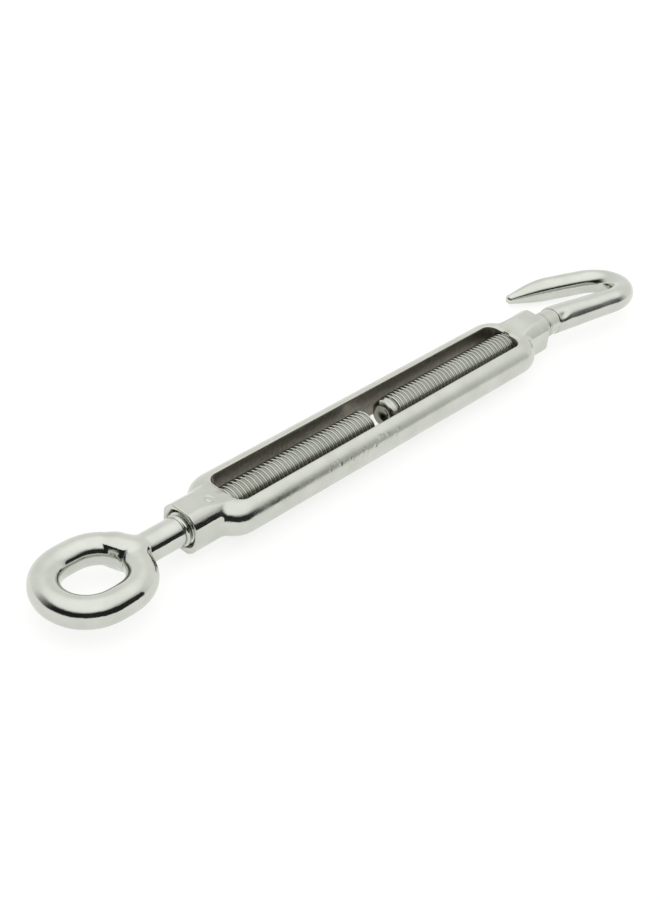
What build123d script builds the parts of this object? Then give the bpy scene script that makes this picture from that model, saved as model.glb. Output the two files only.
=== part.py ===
from build123d import *
import os
from math import asin, atan2, cos, degrees, hypot, radians, sin, sqrt

# Open-body hook-and-eye turnbuckle. Millimetres. The thread axis is X and the eye's centre is the
# origin. The eye bolt has a right-hand thread and the hook bolt a left-hand thread.
os.makedirs("parts", exist_ok=True)

# Driving dimensions
body_length = 124.0
body_middle = 86.0
window_length = 98.8
window_width = 10.8
window_corner = 2.6
window_edge = 0.8
rail_span = 18.7
rail_height = 8.8
rail_rounding = 4.25
shoulder_start = 51.3
shoulder_end = 55.2
shoulder_round = 7.0
shoulder_hollow = 3.0
neck_width = 10.3
neck_end = 60.0

boss_flats = 10.6
boss_round = 11.8
boss_taper_start = 57.5
boss_taper_drop = 1.0
boss_overlap = 1.2
boss_taper_blend = 25.0
boss_end_edge = 0.4

thread_major = 7.85
thread_pitch = 1.25
thread_depth = 0.72
thread_crest = 0.2
thread_embed = 0.05
bore_diameter = 8.0
bore_mouth = 0.6

eye_rod_length = 59.0
thread_runout = 0.9
eye_bar = 7.0
eye_ring_radius = 8.75
eye_ring_offset = 1.7
eye_bend_radius = 5.0
eye_ring_end = -8.0

hook_rod_length = 59.3
hook_nose_length = 2.4
hook_nose_diameter = 7.3
hook_nose_chamfer = 0.9
hook_neck = 6.8
hook_root = 7.5
hook_bar = 6.5
hook_turn = -12.5
hook_step_x = 155.5
hook_root_x = 156.2
hook_bow = (177.7, 2.05)
hook_bow_radius = 7.85
hook_bow_end = 60.5
hook_tip_straight = 9.8
hook_tip_length = 21.7
hook_tip_end = 2.8
hook_tip_sections = 6
hook_tip_fullness = 1.6
hook_tip_lean = 1.1
hook_root_edge = 0.35

# Working sizes
thread_root = thread_major / 2 - thread_depth
body_start = body_middle - body_length / 2
body_end = body_middle + body_length / 2
eye_rod_end = body_start + eye_rod_length
hook_rod_end = body_end - hook_rod_length
hook_bow_exit = (
    hook_bow[0] + hook_bow_radius * cos(radians(hook_bow_end)),
    hook_bow[1] + hook_bow_radius * sin(radians(hook_bow_end)),
)


def x_plane(x):
    """The plane square to the thread axis at x, with its own x along Y and its own y along Z."""
    return Plane.YZ.offset(x)


def thread_ridge(start_x, length, left_hand):
    """The helical ridge of an external thread that starts at start_x and runs along +X."""
    with BuildPart() as ridge:
        with BuildLine() as helix:
            Helix(
                pitch=thread_pitch,
                height=length,
                radius=thread_root - thread_embed,
                center=(start_x, 0, 0),
                direction=(1, 0, 0),
                lefthand=left_hand,
            )
        start = helix.line @ 0
        outward = Vector(0, start.Y, start.Z)
        with BuildSketch(Plane(origin=start, x_dir=outward, z_dir=helix.line % 0)):
            half_foot = thread_pitch * 0.45
            reach = thread_depth + thread_embed
            with BuildLine():
                Polyline(
                    (0, -half_foot),
                    (reach, -thread_crest / 2),
                    (reach, thread_crest / 2),
                    (0, half_foot),
                    close=True,
                )
            make_face()
        sweep(path=helix.line, is_frenet=True)
    return ridge.part


def upright(edge):
    """Whether an edge runs straight along Z."""
    return abs(edge.tangent_at(0.5).Z) > 0.9


def on_window_wall(face):
    """Whether a face is part of the window's wall: upright, and on or inside the window's outline."""
    middle = face.center()
    inside = abs(middle.Y) < window_width / 2 + 0.01
    inside = inside and abs(middle.X - body_middle) < window_length / 2 + 0.01
    return inside and abs(face.normal_at(middle).Z) < 0.01


def bore_rims(part):
    """The two circles where the thread bore leaves the end faces."""
    circles = part.edges().filter_by(GeomType.CIRCLE)
    sized = [edge for edge in circles if abs(edge.radius - bore_diameter / 2) < 0.001]
    ordered = sorted(sized, key=lambda edge: edge.center().X)
    return [ordered[0], ordered[-1]]


# Turnbuckle body: two rails and two end bosses in one casting
window_half = window_length / 2
boss_root = window_half + boss_overlap
with BuildPart() as boss_pair:
    for side in (-1, 1):
        with BuildSketch(x_plane(body_middle + side * boss_root)):
            Circle(boss_round / 2)
            Rectangle(boss_flats, boss_round, mode=Mode.INTERSECT)
        extrude(amount=side * (body_length / 2 - boss_root))
    with BuildSketch(Plane.XZ):
        top = boss_flats / 2
        low = top - boss_taper_drop
        with BuildLine():
            upper = FilletPolyline(
                (body_start, top),
                (body_middle - boss_taper_start, top),
                (body_middle - boss_root, low),
                (body_middle + boss_root, low),
                (body_middle + boss_taper_start, top),
                (body_end, top),
                radius=boss_taper_blend,
            )
            lower = mirror(upper, about=Plane.XZ)
            Line(upper @ 0, lower @ 0)
            Line(upper @ 1, lower @ 1)
        make_face()
    extrude(amount=boss_flats, both=True, mode=Mode.INTERSECT)

with BuildPart() as turnbuckle_body:
    with BuildSketch(Plane.XY):
        with BuildLine():
            outline = [
                (neck_end, neck_width / 2),
                (shoulder_end, neck_width / 2),
                (shoulder_start, rail_span / 2),
                (-shoulder_start, rail_span / 2),
                (-shoulder_end, neck_width / 2),
                (-neck_end, neck_width / 2),
            ]
            far_side = FilletPolyline(
                *[(body_middle + x, y) for x, y in outline],
                radius=[shoulder_hollow, shoulder_round, shoulder_round, shoulder_hollow],
            )
            near_side = mirror(far_side, about=Plane.XZ)
            Line(far_side @ 0, near_side @ 0)
            Line(far_side @ 1, near_side @ 1)
        make_face()
    extrude(amount=rail_height / 2, both=True)
    faces_up_and_down = [faces().sort_by(Axis.Z)[0], faces().sort_by(Axis.Z)[-1]]
    rims = [edge for face in faces_up_and_down for edge in face.edges()]
    sides = [edge for edge in rims if abs(edge.center().X - body_middle) < neck_end - 0.5]
    fillet(sides, radius=rail_rounding)
    with BuildSketch(Plane.XY):
        with Locations((body_middle, 0)):
            RectangleRounded(window_length, window_width, window_corner)
    extrude(amount=boss_flats, both=True, mode=Mode.SUBTRACT)
    window_walls = [face for face in faces() if on_window_wall(face)]
    wall_edges = [edge for face in window_walls for edge in face.edges()]
    window_rims = [edge for edge in wall_edges if not upright(edge)]
    fillet(window_rims, radius=window_edge)
    add(boss_pair.part)
    end_faces = [faces().sort_by(Axis.X)[0], faces().sort_by(Axis.X)[-1]]
    fillet([edge for face in end_faces for edge in face.edges()], radius=boss_end_edge)
    with BuildSketch(x_plane(body_start)):
        Circle(bore_diameter / 2)
    extrude(amount=body_length, mode=Mode.SUBTRACT)
    chamfer(bore_rims(turnbuckle_body.part), length=bore_mouth)
turnbuckle_body.part.label = "turnbuckle_body"
export_step(turnbuckle_body.part, "parts/turnbuckle_body.step")

# Eye bolt: right-hand threaded rod, plain shank, and the bar bent round into a closed ring
with BuildPart() as eye_bolt:
    add(thread_ridge(body_start + thread_runout, eye_rod_length - 2 * thread_runout, left_hand=False))
    with BuildSketch(x_plane(body_start - thread_runout)):
        Circle(thread_root)
    extrude(amount=eye_rod_length + thread_runout)
    with BuildLine() as eye_line:
        reach = eye_ring_radius + eye_bend_radius
        bend_x = eye_ring_offset + sqrt(reach**2 - eye_bend_radius**2)
        join_angle = degrees(atan2(eye_bend_radius, bend_x - eye_ring_offset))
        shank = Line((body_start, 0), (bend_x, 0))
        bend = CenterArc((bend_x, eye_bend_radius), eye_bend_radius, 270, -(90 - join_angle))
        ring_start = (eye_ring_offset, 0)
        near_turn = CenterArc(ring_start, eye_ring_radius, join_angle, 90 - join_angle)
        far_run = Line(near_turn @ 1, (-eye_ring_offset, eye_ring_radius))
        half_turn = CenterArc((-eye_ring_offset, 0), eye_ring_radius, 90, 180)
        near_run = Line(half_turn @ 1, (eye_ring_offset, -eye_ring_radius))
        closing = CenterArc(ring_start, eye_ring_radius, 270, 90 + eye_ring_end)
    with BuildSketch(x_plane(body_start)):
        Circle(eye_bar / 2)
    sweep(path=eye_line.line)
eye_bolt.part.label = "eye_bolt"
export_step(eye_bolt.part, "parts/eye_bolt.step")

# Hook bolt: left-hand threaded rod with a plain turned nose, and a forged, pointed hook
hook_plane = Plane.XY.rotated((hook_turn, 0, 0))
with BuildPart() as hook_bolt:
    ridge_start = hook_rod_end + hook_nose_length + thread_runout
    add(thread_ridge(ridge_start, body_end - thread_runout - ridge_start, left_hand=True))
    with BuildSketch(x_plane(hook_rod_end + hook_nose_chamfer)):
        Circle(thread_root)
    extrude(amount=hook_rod_length)
    with BuildSketch(Plane.XZ):
        nose = hook_nose_diameter / 2
        with BuildLine():
            Polyline(
                (hook_rod_end, 0),
                (hook_rod_end, nose - hook_nose_chamfer),
                (hook_rod_end + hook_nose_chamfer, nose),
                (hook_rod_end + hook_nose_length, nose),
                (hook_rod_end + hook_nose_length, 0),
                close=True,
            )
        make_face()
    revolve(axis=Axis.X)
    with BuildSketch(x_plane(body_end)):
        Circle(hook_neck / 2)
    extrude(amount=hook_step_x - body_end)
    with BuildSketch(Plane.XZ):
        root = hook_root / 2
        with BuildLine():
            Polyline(
                (hook_step_x, 0),
                (hook_step_x, root - hook_root_edge),
                (hook_step_x + hook_root_edge, root),
                (hook_root_x, root),
                (hook_root_x, 0),
                close=True,
            )
        make_face()
    revolve(axis=Axis.X)
    with Locations((hook_root_x, 0, 0)):
        Sphere(root)
    # the near leg runs straight from the root to the bow, which it meets tangentially
    run = hypot(hook_bow[0] - hook_root_x, hook_bow[1])
    heading = atan2(hook_bow[1], hook_bow[0] - hook_root_x) - asin(hook_bow_radius / run)
    leg_length = sqrt(run**2 - hook_bow_radius**2)
    bow_start = degrees(heading) - 90
    tip_heading = radians(hook_bow_end + 90)
    with BuildLine(hook_plane) as hook_line:
        leg = PolarLine((hook_root_x, 0), leg_length, degrees(heading))
        bow = CenterArc(hook_bow, hook_bow_radius, bow_start, hook_bow_end - bow_start)
        tip_leg = PolarLine(bow @ 1, hook_tip_straight, degrees(tip_heading))
    with BuildSketch(Plane(origin=leg @ 0, z_dir=leg % 0)):
        Circle(hook_root / 2)
    with BuildSketch(Plane(origin=leg @ 1, z_dir=leg % 1)):
        Circle(hook_bar / 2)
    loft()
    with BuildSketch(Plane(origin=bow @ 0, z_dir=bow % 0)):
        Circle(hook_bar / 2)
    sweep(path=Wire([bow, tip_leg]))
    # the tip narrows faster and faster, and leans towards the near leg
    forward = Vector(cos(tip_heading), sin(tip_heading))
    inward = Vector(-sin(tip_heading), cos(tip_heading))
    for station in range(hook_tip_sections):
        share = station / (hook_tip_sections - 1)
        radius = hook_bar / 2 - (hook_bar - hook_tip_end) / 2 * share**hook_tip_fullness
        along = forward * (hook_tip_straight + share * (hook_tip_length - hook_tip_straight))
        lean = inward * (hook_bar / 2 - radius) * hook_tip_lean
        centre = hook_plane.from_local_coords(Vector(*hook_bow_exit) + along + lean)
        with BuildSketch(Plane(origin=centre, z_dir=tip_leg % 1)):
            Circle(radius)
    loft()
    with Locations(Plane(origin=centre, z_dir=tip_leg % 1)):
        Sphere(hook_tip_end / 2, arc_size1=0, align=(Align.CENTER, Align.CENTER, Align.MIN))
hook_bolt.part.label = "hook_bolt"
export_step(hook_bolt.part, "parts/hook_bolt.step")
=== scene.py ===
import math

import bmesh
import bpy
import numpy as np
from mathutils import Matrix, Vector


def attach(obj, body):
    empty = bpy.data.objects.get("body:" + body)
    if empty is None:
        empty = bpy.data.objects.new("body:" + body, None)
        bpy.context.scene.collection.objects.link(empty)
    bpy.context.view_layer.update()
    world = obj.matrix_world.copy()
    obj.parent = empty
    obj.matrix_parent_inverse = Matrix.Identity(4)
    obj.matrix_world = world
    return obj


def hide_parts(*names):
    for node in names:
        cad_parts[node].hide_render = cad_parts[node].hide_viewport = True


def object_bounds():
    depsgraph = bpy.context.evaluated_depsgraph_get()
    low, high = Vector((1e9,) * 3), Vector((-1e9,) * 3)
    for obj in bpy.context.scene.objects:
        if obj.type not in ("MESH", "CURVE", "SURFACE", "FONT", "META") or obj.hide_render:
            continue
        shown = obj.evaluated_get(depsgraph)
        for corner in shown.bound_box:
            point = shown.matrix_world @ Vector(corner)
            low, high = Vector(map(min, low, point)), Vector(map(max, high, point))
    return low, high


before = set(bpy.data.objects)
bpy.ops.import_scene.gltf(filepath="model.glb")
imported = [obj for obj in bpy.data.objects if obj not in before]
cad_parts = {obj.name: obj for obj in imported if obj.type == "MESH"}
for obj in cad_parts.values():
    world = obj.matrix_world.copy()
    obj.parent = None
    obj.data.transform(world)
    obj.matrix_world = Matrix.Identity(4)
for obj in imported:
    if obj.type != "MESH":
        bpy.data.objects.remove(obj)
cad_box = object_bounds()

# ---------------------------------------------------------------- sizes, in millimetres
MIDDLE = 86.0  # the casting's middle on the thread axis
HALF = 62.0  # half the casting's length
PITCH = 1.25
THREAD_ROOT = 3.2
THREAD_CREST = 3.92
EYE_BAR = 3.5
EYE_RADIUS = 8.75
EYE_OFFSET = 1.7
HOOK_TURN = math.radians(-12.5)
HOOK_ROOT_X = 156.2
HOOK_STEP = 155.6
HOOK_BOW = (177.7, 2.05)
HOOK_BOW_RADIUS = 7.85
HOOK_BOW_END = math.radians(60.5)
HOOK_ROOT = 3.75  # radius of the hook's root
HOOK_BAR = 3.25  # radius of the hook's bar
TIP_STRAIGHT = 9.8
TIP_TAPER = 11.9
TIP_LENGTH = 21.7
EYE_BEND = 5.0  # radius of the bend between the shank and the ring
RAIL_HALF_SPAN = 9.35
RAIL_HALF_HEIGHT = 4.4
RAIL_ROUNDING = 4.25
SHOULDER = 51.3  # where the rails start to slope in, from the casting's middle
NECK_HALF_WIDTH = 5.15
NECK_END = 60.0
BOSS_HALF_FLATS = 5.3
BOSS_RADIUS = 5.9
BORE_RADIUS = 4.0


# ---------------------------------------------------------------- distance functions
def length(*parts):
    return np.sqrt(sum(part * part for part in parts))


def round_cut(a, b, radius):
    """Inside both a and b, with the edge between them rounded."""
    corner = length(np.maximum(radius + a, 0), np.maximum(radius + b, 0))
    return np.minimum(-radius, np.maximum(a, b)) + corner


def round_join(a, b, radius):
    """Inside a or b, with a fillet between them."""
    return -round_cut(-a, -b, radius)


def soft_cut(a, b, width):
    """As round_cut, for surfaces that meet at a shallow angle."""
    share = np.maximum(width - np.abs(a - b), 0) / width
    return np.maximum(a, b) + share * share * width / 4


def waves(p, scale, seed):
    """Smooth unevenness between about -1 and 1, over lengths of about scale."""
    random = np.random.default_rng(seed)
    total = np.zeros(len(p))
    for _ in range(7):
        way = random.normal(size=3)
        way *= random.uniform(0.7, 1.6) * 2 * math.pi / scale / np.linalg.norm(way)
        total += np.sin(p @ way + random.uniform(0, 2 * math.pi))
    return total / 3.5


def line_gap(x, y, start, end):
    """Distance in the plane from a straight run."""
    run = (end[0] - start[0], end[1] - start[1])
    share = ((x - start[0]) * run[0] + (y - start[1]) * run[1]) / (run[0] ** 2 + run[1] ** 2)
    share = np.clip(share, 0, 1)
    return length(x - start[0] - share * run[0], y - start[1] - share * run[1])


def arc_gap(x, y, centre, radius, start, turn):
    """Distance in the plane from an arc that starts at the angle start and turns by turn."""
    angle = np.arctan2(y - centre[1], x - centre[0]) - start
    middle = turn / 2
    angle = (angle - middle + math.pi) % (2 * math.pi) - math.pi
    on_arc = np.abs(angle) <= abs(middle)
    first = (centre[0] + radius * math.cos(start), centre[1] + radius * math.sin(start))
    last = (
        centre[0] + radius * math.cos(start + turn),
        centre[1] + radius * math.sin(start + turn),
    )
    ends = np.minimum(length(x - first[0], y - first[1]), length(x - last[0], y - last[1]))
    return np.where(on_arc, np.abs(length(x - centre[0], y - centre[1]) - radius), ends)


# ---------------------------------------------------------------- the three shapes
def casting(p):
    """The body: two rails with a window between them, and a boss with a bore at each end."""
    x, y, z = p[:, 0] - MIDDLE, np.abs(p[:, 1]), p[:, 2]
    along = np.abs(x)
    # outline seen from above: rails, sloping shoulders, necks
    slope = (along - SHOULDER) * 0.7328 + (y - RAIL_HALF_SPAN) * 0.6804
    outline = soft_cut(y - RAIL_HALF_SPAN, slope, 2.2)
    neck = np.maximum(y - NECK_HALF_WIDTH, along - NECK_END)
    outline = -soft_cut(-outline, -neck, 1.2)
    slab = np.abs(z) - RAIL_HALF_HEIGHT
    frame_shape = round_cut(outline, slab, RAIL_ROUNDING)
    window = length(np.maximum(along - 46.8, 0), np.maximum(y - 2.8, 0)) - 2.6
    frame_shape = round_cut(frame_shape, -window, 0.5)
    # bosses: a round bar with four flats, thinner towards the window
    top = BOSS_HALF_FLATS - 1.0 * np.clip((57.5 - along) / 6.9, 0, 1) ** 1.3
    flats = np.maximum(y - BOSS_HALF_FLATS, np.abs(z) - top)
    boss = soft_cut(length(y, z) - BOSS_RADIUS, flats, 0.22)
    boss = np.maximum(boss, 50.4 - along)
    solid = round_join(frame_shape, boss, 0.45)
    solid = round_cut(solid, along - HALF, 0.35)
    # bores with a shallow helical groove, and a countersink at each mouth
    hand = np.where(x < 0, 1.0, -1.0)
    turn = np.arctan2(p[:, 2], p[:, 1]) / (2 * math.pi) * hand
    groove = np.abs((p[:, 0] / PITCH - turn) % 1.0 - 0.5) * 2
    radius = length(y, z)
    bore = radius - BORE_RADIUS - 0.3 * groove
    mouth = radius - BORE_RADIUS - np.maximum(along - HALF + 0.8, 0)
    solid = np.maximum(solid, -np.minimum(bore, mouth))
    # the casting's slight unevenness, and a few pits that the polishing left
    rough = np.clip((52 - along) / 4, 0, 1)
    solid = solid + (0.008 + 0.022 * rough) * waves(p * (0.35, 1, 1), 8.0, 3)
    for px, py, pz, size in PITS:
        gap = length(p[:, 0] - px, p[:, 1] - py, p[:, 2] - pz)
        solid = solid + 0.12 * size * np.exp(-((gap / size) ** 2))
    # a plain punched ring on the boss, beside the window
    ring = np.abs(length(p[:, 0] - 31.6, p[:, 1] + 0.8) - 1.0)
    solid = solid + np.where(p[:, 2] > 3, 0.22 * np.exp(-((ring / 0.22) ** 2)), 0)
    return solid


def scattered_pits():
    """Small pits along the outer side of one rail, where the casting was rough."""
    random = np.random.default_rng(11)
    pits = []
    for _ in range(22):
        around = math.radians(random.uniform(20, 50))
        spot = 74 + random.normal() * 7
        pits.append(
            (
                spot,
                -5.1 - RAIL_ROUNDING * math.cos(around),
                0.15 + RAIL_ROUNDING * math.sin(around),
                random.uniform(0.2, 0.42),
            )
        )
    return pits


PITS = scattered_pits()


def eye(p):
    """The shank, bent into a ring whose end comes back to the shank and is welded to it."""
    x, y, z = p[:, 0], p[:, 1], p[:, 2]
    reach = EYE_RADIUS + EYE_BEND
    bend_x = EYE_OFFSET + math.sqrt(reach**2 - EYE_BEND**2)
    join = math.atan2(EYE_BEND, bend_x - EYE_OFFSET)
    shank = line_gap(x, y, (bend_x, 0), (26, 0))
    bend = arc_gap(x, y, (bend_x, EYE_BEND), EYE_BEND, -math.pi / 2, -(math.pi / 2 - join))
    bar = length(np.minimum(shank, bend), z) - EYE_BAR
    # the ring sits a little to one side of the shank's line
    stretch = np.abs(x - 0.15) - EYE_OFFSET
    stretch = (stretch + length(stretch, 1.6)) / 2
    ring = length(np.abs(length(stretch, y + 0.4) - EYE_RADIUS), z) - EYE_BAR
    # the flat where the bar's cut end was ground off beside the shank
    ground = 0.93 * (x - EYE_OFFSET) - 0.367 * y - 11.8
    ring = round_cut(ring, np.where(y < 2, ground, -9), 0.1)
    # the weld is smooth on top and underneath, and leaves a crease beside the shank
    weld = 0.12 + 1.5 * np.clip((np.abs(z) - 0.8) / 2.2, 0, 1) ** 2
    solid = round_join(ring, bar, weld)
    # and a notch inside the ring, where the end stops short of the far side
    notch = length((x - 7.3) / 1.3, (y + 0.9 - 0.4 * (x - 7.3)) / 0.5)
    solid = solid + 0.5 * np.exp(-(notch**2))
    solid = np.maximum(solid, x - 22.4)
    return solid + 0.02 * waves(p, 6.0, 21)


def hook(p):
    """The forged hook: a stepped root, a straight leg, a round bow and a tapered, pointed leg."""
    c, s = math.cos(HOOK_TURN), math.sin(HOOK_TURN)
    x, y, z = p[:, 0], p[:, 1] * c + p[:, 2] * s, -p[:, 1] * s + p[:, 2] * c
    run = math.hypot(HOOK_BOW[0] - HOOK_ROOT_X, HOOK_BOW[1])
    heading = math.atan2(HOOK_BOW[1], HOOK_BOW[0] - HOOK_ROOT_X) - math.asin(HOOK_BOW_RADIUS / run)
    leg = math.sqrt(run**2 - HOOK_BOW_RADIUS**2)
    along = (x - HOOK_ROOT_X) * math.cos(heading) + y * math.sin(heading)
    across = -(x - HOOK_ROOT_X) * math.sin(heading) + y * math.cos(heading)
    share = np.clip(along / leg, 0, 1)
    near = length(along - share * leg, across, z) - (HOOK_ROOT - 0.5 * share)
    start = heading - math.pi / 2
    bow = arc_gap(x, y, HOOK_BOW, HOOK_BOW_RADIUS, start, HOOK_BOW_END - start)
    bow = length(bow, z) - HOOK_BAR
    tip_way = HOOK_BOW_END + math.pi / 2
    exit_x = HOOK_BOW[0] + HOOK_BOW_RADIUS * math.cos(HOOK_BOW_END)
    exit_y = HOOK_BOW[1] + HOOK_BOW_RADIUS * math.sin(HOOK_BOW_END)
    t = (x - exit_x) * math.cos(tip_way) + (y - exit_y) * math.sin(tip_way)
    n = -(x - exit_x) * math.sin(tip_way) + (y - exit_y) * math.cos(tip_way)
    share = np.clip((t - TIP_STRAIGHT) / TIP_TAPER, 0, 1)
    thin = HOOK_BAR - 1.85 * share**1.6
    beyond = np.maximum(t - TIP_LENGTH, 0) + np.minimum(t, 0)
    tip = length(beyond, n - (HOOK_BAR - thin) * 1.1, z) - thin
    bar = np.minimum(np.minimum(near, bow), tip)
    root = length(p[:, 1], p[:, 2]) - HOOK_ROOT
    root = round_cut(np.maximum(root, p[:, 0] - HOOK_ROOT_X), HOOK_STEP - p[:, 0], 0.25)
    bar = np.minimum(bar, root)
    bar = round_cut(bar, HOOK_STEP - p[:, 0], 0.25)
    # a dent that the forging left beside the step
    dent = length((p[:, 0] - 157.2) / 1.7, (p[:, 1] + 2.7) / 0.9, (p[:, 2] - 2.6) / 1.2)
    bar = bar + 0.3 * np.exp(-(dent**2))
    neck = np.maximum(length(p[:, 1], p[:, 2]) - 3.4, np.abs(p[:, 0] - 154.5) - 2.5)
    bar = round_join(bar, neck, 0.15)
    return bar + 0.03 * waves(p, 7.0, 31)


# ---------------------------------------------------------------- meshes
def surface_mesh(name, shape, low, high, cell):
    """A closed mesh of a shape's surface.

    It has one vertex in each grid cell that the surface crosses, spread evenly and drawn onto it.
    """
    axes = [np.arange(a - 2.5 * cell, b + 3.5 * cell, cell) for a, b in zip(low, high)]
    grid = np.stack(np.meshgrid(*axes, indexing="ij"), -1)
    inside = (shape(grid.reshape(-1, 3)) < 0).reshape(grid.shape[:3])
    count = np.zeros([n - 1 for n in inside.shape], int)
    for i in (0, 1):
        for j in (0, 1):
            for k in (0, 1):
                nx, ny, nz = inside.shape
                count += inside[i : nx - 1 + i, j : ny - 1 + j, k : nz - 1 + k]
    crossed = (count > 0) & (count < 8)
    number = np.full(crossed.shape, -1)
    number[crossed] = np.arange(crossed.sum())
    points = np.argwhere(crossed) * cell + np.array([a[0] for a in axes]) + cell / 2
    quads = []
    for axis in range(3):
        solid, cells = np.moveaxis(inside, axis, 0), np.moveaxis(number, axis, 0)
        low_in, high_in = solid[:-1, 1:-1, 1:-1], solid[1:, 1:-1, 1:-1]
        around = [cells[:, :-1, :-1], cells[:, 1:, :-1], cells[:, 1:, 1:], cells[:, :-1, 1:]]
        if axis == 1:
            around.reverse()
        for sign, corners in ((low_in & ~high_in, around), (~low_in & high_in, around[::-1])):
            quads.append(np.stack([corner[sign] for corner in corners], -1))
    quads = np.vstack(quads)
    edges = np.vstack([quads[:, [0, 1]], quads[:, [1, 2]], quads[:, [2, 3]], quads[:, [3, 0]]])

    def slope(at):
        steps = np.eye(3) * 1e-3
        return np.stack([shape(at + step) - shape(at - step) for step in steps], 1) / 2e-3

    def draw_on(at):
        grad = slope(at)
        step = (shape(at) / np.maximum((grad * grad).sum(1), 0.05))[:, None] * grad
        size = np.linalg.norm(step, axis=1)[:, None]
        return at - step * np.minimum(1, cell / np.maximum(size, 1e-9))

    for _ in range(3):
        points = draw_on(points)
    total = np.bincount(edges[:, 0], minlength=len(points))[:, None]
    for _ in range(3):
        mean = np.stack(
            [np.bincount(edges[:, 0], points[edges[:, 1], k], len(points)) for k in range(3)], 1
        )
        points = draw_on(points * 0.4 + mean / total * 0.6)
    points = draw_on(points)
    normals = slope(points)
    normals /= np.linalg.norm(normals, axis=1)[:, None]
    return finished(name, points, quads, normals)


def finished(name, points, faces, normals):
    """A smooth-shaded object from points in millimetres."""
    mesh = bpy.data.meshes.new(name)
    mesh.from_pydata((points / 1000).tolist(), [], faces.tolist())
    mesh.validate()
    mesh.shade_smooth()
    mesh.normals_split_custom_set_from_vertices(normals.tolist())
    piece = bpy.data.objects.new(name, mesh)
    bpy.context.scene.collection.objects.link(piece)
    return piece


def threaded_rod(name, stations, left_hand, steps=72):
    """A rod along X with a thread cut as a helical grid.

    Each station is (x, least radius, greatest radius): the profile is held between the two.
    """
    where, least, most = (np.array(column, float) for column in zip(*stations))
    profile = np.array([-0.5, -0.42, -0.33, -0.24, -0.15, -0.09, 0.0, 0.09, 0.15, 0.24, 0.33, 0.42])
    per_turn = len(profile)
    # the grid runs past each end by what the end face needs, and folds in to the axis there
    turns = int((where[-1] - where[0]) / PITCH) + 5
    first = where[0] - 2 * PITCH
    turn = np.arange(turns * steps + 1) / steps
    x = first + PITCH * (turn[:, None] + profile[None, :])
    angle = np.repeat(turn[:, None] * 2 * math.pi, per_turn, 1) * (-1 if left_hand else 1)
    flank = np.clip((np.abs(profile) - 0.09) / 0.33, 0, 1)
    flank = flank * flank * (3 - 2 * flank) * 0.35 + flank * 0.65
    wave = THREAD_CREST - (THREAD_CREST - THREAD_ROOT) * flank
    radius = np.clip(wave[None, :], np.interp(x, where, least), np.interp(x, where, most))
    over = np.maximum(where[0] - x, x - where[-1])
    radius = np.where(over > 0, np.maximum(radius - over * 3.4, 0), radius)
    x = np.clip(x, where[0], where[-1])
    points = np.stack([x, radius * np.cos(angle), radius * np.sin(angle)], -1).reshape(-1, 3)
    grid = np.arange(len(points)).reshape(x.shape)
    inner = np.stack([grid[:-1, :-1], grid[:-1, 1:], grid[1:, 1:], grid[1:, :-1]], -1)
    wrap = np.stack(
        [grid[: -steps - 1, -1], grid[steps:-1, 0], grid[steps + 1 :, 0], grid[1:-steps, -1]], -1
    )
    faces = np.vstack([inner.reshape(-1, 4), wrap.reshape(-1, 4)])
    if not left_hand:
        faces = faces[:, ::-1]
    mesh = bpy.data.meshes.new(name)
    mesh.from_pydata((points / 1000).tolist(), [], faces.tolist())
    form = bmesh.new()
    form.from_mesh(mesh)
    bmesh.ops.remove_doubles(form, verts=form.verts, dist=2e-7)
    bmesh.ops.dissolve_degenerate(form, edges=form.edges, dist=1e-8)
    loose = [v for v in form.verts if not v.link_faces]
    bmesh.ops.delete(form, geom=loose, context="VERTS")
    open_edges = [e for e in form.edges if e.is_boundary]
    bmesh.ops.holes_fill(form, edges=open_edges)
    bmesh.ops.recalc_face_normals(form, faces=form.faces)
    form.to_mesh(mesh)
    form.free()
    mesh.shade_smooth()
    piece = bpy.data.objects.new(name, mesh)
    bpy.context.scene.collection.objects.link(piece)
    return piece


body = surface_mesh("body_casting", casting, (24, -9.6, -5.6), (148, 9.6, 5.6), 0.22)
eye_forging = surface_mesh("eye_forging", eye, (-14.2, -12.8, -3.7), (22.4, 12.5, 3.7), 0.22)
hook_forging = surface_mesh("hook_forging", hook, (152.0, -9.5, -6.4), (190, 20, 5.2), 0.22)
eye_thread = threaded_rod(
    "eye_thread",
    [
        (21.8, 3.46, 3.46),
        (22.4, 3.495, 3.495),
        (22.8, 3.5, 3.5),
        (23.9, THREAD_ROOT, THREAD_CREST),
        (82.3, THREAD_ROOT, THREAD_CREST),
        (83.0, THREAD_ROOT, 3.3),
    ],
    left_hand=False,
)
hook_thread = threaded_rod(
    "hook_thread",
    [
        (88.7, 2.75, 2.75),
        (89.6, 3.65, 3.65),
        (91.0, 3.65, 3.65),
        (91.5, THREAD_ROOT, THREAD_CREST),
        (147.8, THREAD_ROOT, THREAD_CREST),
        (148.6, 3.28, 3.5),
        (151.0, 3.34, 3.44),
        (151.9, 3.39, 3.41),
        (152.6, 3.3, 3.3),
    ],
    left_hand=True,
)


# the hook rod's sheared nose: an uneven rim, and a dent in its end
nose = np.empty(len(hook_thread.data.vertices) * 3)
hook_thread.data.vertices.foreach_get("co", nose)
nose = nose.reshape(-1, 3) * 1000
near_end = np.clip((90.6 - nose[:, 0]) / 1.6, 0, 1)
dent = length(nose[:, 1] + 0.5, nose[:, 2] - 0.6) / 1.5
nose[:, 0] += np.where(nose[:, 0] < 89.0, 0.8 * np.exp(-(dent**2)), 0)
nose[:, 1:] *= 1 + 0.035 * (near_end * waves(nose, 4.0, 41))[:, None]
hook_thread.data.vertices.foreach_set("co", (nose / 1000).ravel())

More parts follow.
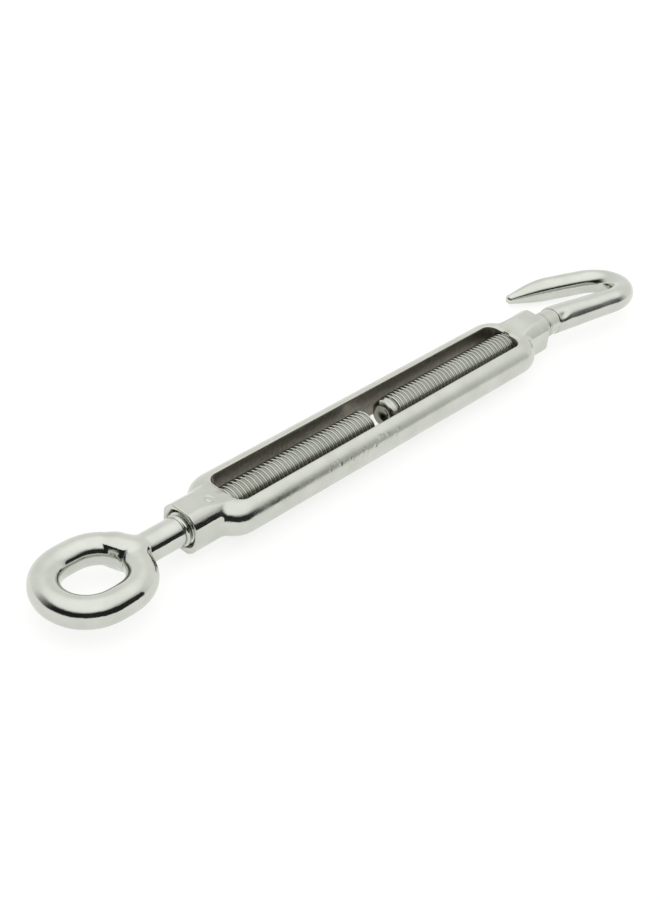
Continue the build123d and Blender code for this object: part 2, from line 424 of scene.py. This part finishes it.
# ---------------------------------------------------------------- materials
def metal(name, dark, light, rough_low, rough_high, grain, bump, root_shade=False, cast=False):
    """Polished steel with slightly uneven colour, gloss and surface, and painted shade low in a
    thread's roots.
    """
    material = bpy.data.materials.new(name)
    material.use_nodes = True
    nodes, links = material.node_tree.nodes, material.node_tree.links
    nodes.clear()
    out = nodes.new("ShaderNodeOutputMaterial")
    shader = nodes.new("ShaderNodeBsdfPrincipled")
    shader.inputs["Metallic"].default_value = 1.0
    links.new(shader.outputs["BSDF"], out.inputs["Surface"])
    coordinates = nodes.new("ShaderNodeTexCoord")

    def noise(scale, detail, stretch=(1, 1, 1)):
        mapping = nodes.new("ShaderNodeMapping")
        mapping.inputs["Scale"].default_value = stretch
        links.new(coordinates.outputs["Object"], mapping.inputs["Vector"])
        texture = nodes.new("ShaderNodeTexNoise")
        texture.inputs["Scale"].default_value = scale
        texture.inputs["Detail"].default_value = detail
        links.new(mapping.outputs["Vector"], texture.inputs["Vector"])
        return texture.outputs["Fac"]

    def ramp(value, low, high, low_colour, high_colour):
        blend = nodes.new("ShaderNodeValToRGB")
        blend.color_ramp.elements[0].position = low
        blend.color_ramp.elements[1].position = high
        blend.color_ramp.elements[0].color = (*low_colour, 1)
        blend.color_ramp.elements[1].color = (*high_colour, 1)
        links.new(value, blend.inputs["Fac"])
        return blend.outputs["Color"]

    def measure(vector):
        size = nodes.new("ShaderNodeVectorMath")
        size.operation = "LENGTH"
        links.new(vector.outputs["Vector"], size.inputs[0])
        return size.outputs["Value"]

    def from_axis():
        parts = nodes.new("ShaderNodeSeparateXYZ")
        links.new(coordinates.outputs["Object"], parts.inputs["Vector"])
        flat = nodes.new("ShaderNodeCombineXYZ")
        links.new(parts.outputs["Y"], flat.inputs["Y"])
        links.new(parts.outputs["Z"], flat.inputs["Z"])
        return measure(flat)

    cloud = noise(160, 4)
    colour = ramp(cloud, 0.3, 0.7, dark, light)
    # painted shade: the thread's colour is darkened the deeper a point lies below the crests,
    # towards the roots
    if root_shade:
        depth = nodes.new("ShaderNodeMapRange")
        depth.inputs["From Min"].default_value = (THREAD_ROOT + 0.02) / 1000
        depth.inputs["From Max"].default_value = 0.00346
        links.new(from_axis(), depth.inputs["Value"])
        shade = ramp(depth.outputs["Result"], 0.0, 1.0, (0.42, 0.4, 0.36), (1, 1, 1))
        mix = nodes.new("ShaderNodeMix")
        mix.data_type = "RGBA"
        mix.blend_type = "MULTIPLY"
        mix.inputs["Factor"].default_value = 1.0
        links.new(colour, mix.inputs[6])
        links.new(shade, mix.inputs[7])
        colour = mix.outputs[2]

    def spread(value, low, high, first, last):
        step = nodes.new("ShaderNodeMapRange")
        step.inputs["From Min"].default_value = low
        step.inputs["From Max"].default_value = high
        step.inputs["To Min"].default_value = first
        step.inputs["To Max"].default_value = last
        links.new(value, step.inputs["Value"])
        return step.outputs["Result"]

    def sums(operation, a, b):
        result = nodes.new("ShaderNodeMath")
        result.operation = operation
        for socket, value in zip(result.inputs, (a, b)):
            if isinstance(value, float):
                socket.default_value = value
            else:
                links.new(value, socket)
        return result.outputs["Value"]

    gloss = spread(noise(420, 5), 0.3, 0.7, rough_low, rough_high)
    if cast:
        # the rails are less finely polished than the bosses, and the window's walls and the bore
        # stay as cast: rougher, with their colour darkened partly as the cast skin and partly as
        # painted shade in the recess
        parts = nodes.new("ShaderNodeSeparateXYZ")
        links.new(coordinates.outputs["Object"], parts.inputs["Vector"])
        along = sums("ABSOLUTE", sums("SUBTRACT", parts.outputs["X"], MIDDLE / 1000), 0.0)
        across = sums("ABSOLUTE", parts.outputs["Y"], 0.0)
        corner = nodes.new("ShaderNodeCombineXYZ")
        links.new(sums("MAXIMUM", sums("SUBTRACT", along, 0.0468), 0.0), corner.inputs["X"])
        links.new(sums("MAXIMUM", sums("SUBTRACT", across, 0.0028), 0.0), corner.inputs["Y"])
        streaks = spread(noise(260, 4, (0.15, 1, 1)), 0.35, 0.65, 0.06, 0.17)
        rails = sums("MULTIPLY", spread(along, 0.046, 0.052, 1.0, 0.0), streaks)
        gloss = sums("ADD", gloss, rails)
        wall = spread(measure(corner), 0.00267, 0.00276, 1.0, 0.0)
        wall = sums("MAXIMUM", wall, spread(from_axis(), 0.0042, 0.0046, 1.0, 0.0))
        gloss = sums("ADD", gloss, sums("MULTIPLY", wall, 0.25))
        # painted shade: the window's walls and the bore take a dark colour, darker than the cast
        # skin alone would be
        wall_skin_and_shade = nodes.new("ShaderNodeMix")
        wall_skin_and_shade.data_type = "RGBA"
        links.new(wall, wall_skin_and_shade.inputs["Factor"])
        links.new(colour, wall_skin_and_shade.inputs[6])
        cast_tone_and_painted_shade = ramp(noise(900, 4), 0.3, 0.7, (0.20, 0.185, 0.15), (0.30, 0.28, 0.235))
        links.new(cast_tone_and_painted_shade, wall_skin_and_shade.inputs[7])
        colour = wall_skin_and_shade.outputs[2]
    links.new(colour, shader.inputs["Base Color"])
    links.new(gloss, shader.inputs["Roughness"])
    marks = sums("ADD", noise(grain, 3, (0.2, 1, 1)), sums("MULTIPLY", noise(620, 2), 1.6))
    relief = nodes.new("ShaderNodeBump")
    relief.inputs["Strength"].default_value = bump
    relief.inputs["Distance"].default_value = 0.00005
    links.new(marks, relief.inputs["Height"])
    links.new(relief.outputs["Normal"], shader.inputs["Normal"])
    return material


cast_steel = metal(
    "cast_steel", (0.54, 0.555, 0.505), (0.61, 0.625, 0.57), 0.07, 0.15, 2600, 0.25, cast=True
)
bolt_steel = metal("bolt_steel", (0.54, 0.555, 0.51), (0.61, 0.625, 0.58), 0.06, 0.13, 2600, 0.2)
thread_steel = metal(
    "thread_steel",
    (0.54, 0.555, 0.51),
    (0.61, 0.625, 0.58),
    0.10,
    0.18,
    3000,
    0.15,
    root_shade=True,
)

for piece, material, node, slot in (
    (body, cast_steel, "turnbuckle_body", "cast_steel"),
    (eye_forging, bolt_steel, "eye_bolt", "bolt_steel"),
    (eye_thread, thread_steel, "eye_bolt", "bolt_steel"),
    (hook_forging, bolt_steel, "hook_bolt", "bolt_steel"),
    (hook_thread, thread_steel, "hook_bolt", "bolt_steel"),
):
    piece.data.materials.append(material)
    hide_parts(node)
    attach(piece, node)

# ---------------------------------------------------------------- floor, light and camera
lowest = cad_box[0][2]
bpy.ops.mesh.primitive_plane_add(size=12, location=(0.086, 0, lowest))
floor = bpy.context.active_object
floor.name = "floor"
paper = bpy.data.materials.new("floor_paper")
paper.use_nodes = True
paper_shader = paper.node_tree.nodes["Principled BSDF"]
paper_shader.inputs["Base Color"].default_value = (0.3, 0.3, 0.3, 1)
paper_shader.inputs["Emission Color"].default_value = (1, 1, 0.99, 1)
paper_shader.inputs["Emission Strength"].default_value = 0.78
paper_shader.inputs["Roughness"].default_value = 0.9
paper_shader.inputs["Specular IOR Level"].default_value = 0.1
floor.data.materials.append(paper)

# a low dark card beside the near end, seen only in reflections
bpy.ops.mesh.primitive_plane_add(size=1, location=(0.0, -0.21, 0.075), rotation=(math.pi / 2, 0, 0))
card = bpy.context.active_object
card.name = "dark_card"
card.scale = (0.42, 0.13, 1)
card.visible_camera = card.visible_diffuse = card.visible_shadow = False
felt = bpy.data.materials.new("card_felt")
felt.use_nodes = True
felt.node_tree.nodes["Principled BSDF"].inputs["Base Color"].default_value = (0.01, 0.01, 0.01, 1)
felt.node_tree.nodes["Principled BSDF"].inputs["Roughness"].default_value = 1.0
card.data.materials.append(felt)

# a white tent, brighter overhead, with a dark opening on the side where the photographer stands
world = bpy.data.worlds.new("tent")
bpy.context.scene.world = world
world.use_nodes = True
tent, wires = world.node_tree.nodes, world.node_tree.links
background = tent["Background"]
direction = tent.new("ShaderNodeTexCoord")
split = tent.new("ShaderNodeSeparateXYZ")
wires.new(direction.outputs["Generated"], split.inputs["Vector"])
facing = tent.new("ShaderNodeVectorMath")
facing.operation = "DOT_PRODUCT"
wires.new(direction.outputs["Generated"], facing.inputs[0])
facing.inputs[1].default_value = (math.cos(math.radians(222)), math.sin(math.radians(222)), 0)


def fade(value, start, end, first, last):
    step = tent.new("ShaderNodeMapRange")
    step.interpolation_type = "SMOOTHSTEP"
    step.inputs["From Min"].default_value = start
    step.inputs["From Max"].default_value = end
    step.inputs["To Min"].default_value = first
    step.inputs["To Max"].default_value = last
    wires.new(value, step.inputs["Value"])
    return step.outputs["Result"]


def times(a, b):
    product = tent.new("ShaderNodeMath")
    product.operation = "MULTIPLY"
    wires.new(a, product.inputs[0])
    wires.new(b, product.inputs[1])
    return product.outputs["Value"]


height = split.outputs["Z"]
opening = times(fade(height, -0.03, 0.16, 0, 1), fade(height, 0.5, 0.8, 1, 0))
opening = times(opening, fade(facing.outputs["Value"], -0.6, 0.72, 0, 1))
glow = times(fade(opening, 0.0, 1.0, 1.0, 0.02), fade(height, 0.55, 0.95, 1.0, 1.3))
wires.new(glow, background.inputs["Strength"])
background.inputs["Color"].default_value = (1.0, 1.0, 0.985, 1)

camera_data = bpy.data.cameras.new("camera")
camera_data.sensor_fit = "HORIZONTAL"
camera_data.sensor_width = 36.0
camera_data.lens = 85.82
camera_data.clip_start = 0.01
camera_data.shift_x = -0.0015
camera_data.shift_y = 0.0012
camera = bpy.data.objects.new("camera", camera_data)
right = Vector((0.68672, -0.72228, 0.08201))
up = Vector((0.38881, 0.46029, 0.79810))
back = Vector((-0.61420, -0.51618, 0.59692))
turned = Matrix((right, up, back)).transposed().to_4x4()
camera.matrix_world = Matrix.Translation((-0.153507, -0.189000, 0.216554)) @ turned
bpy.context.scene.collection.objects.link(camera)
bpy.context.scene.camera = camera
bpy.context.scene.view_settings.view_transform = "Standard"
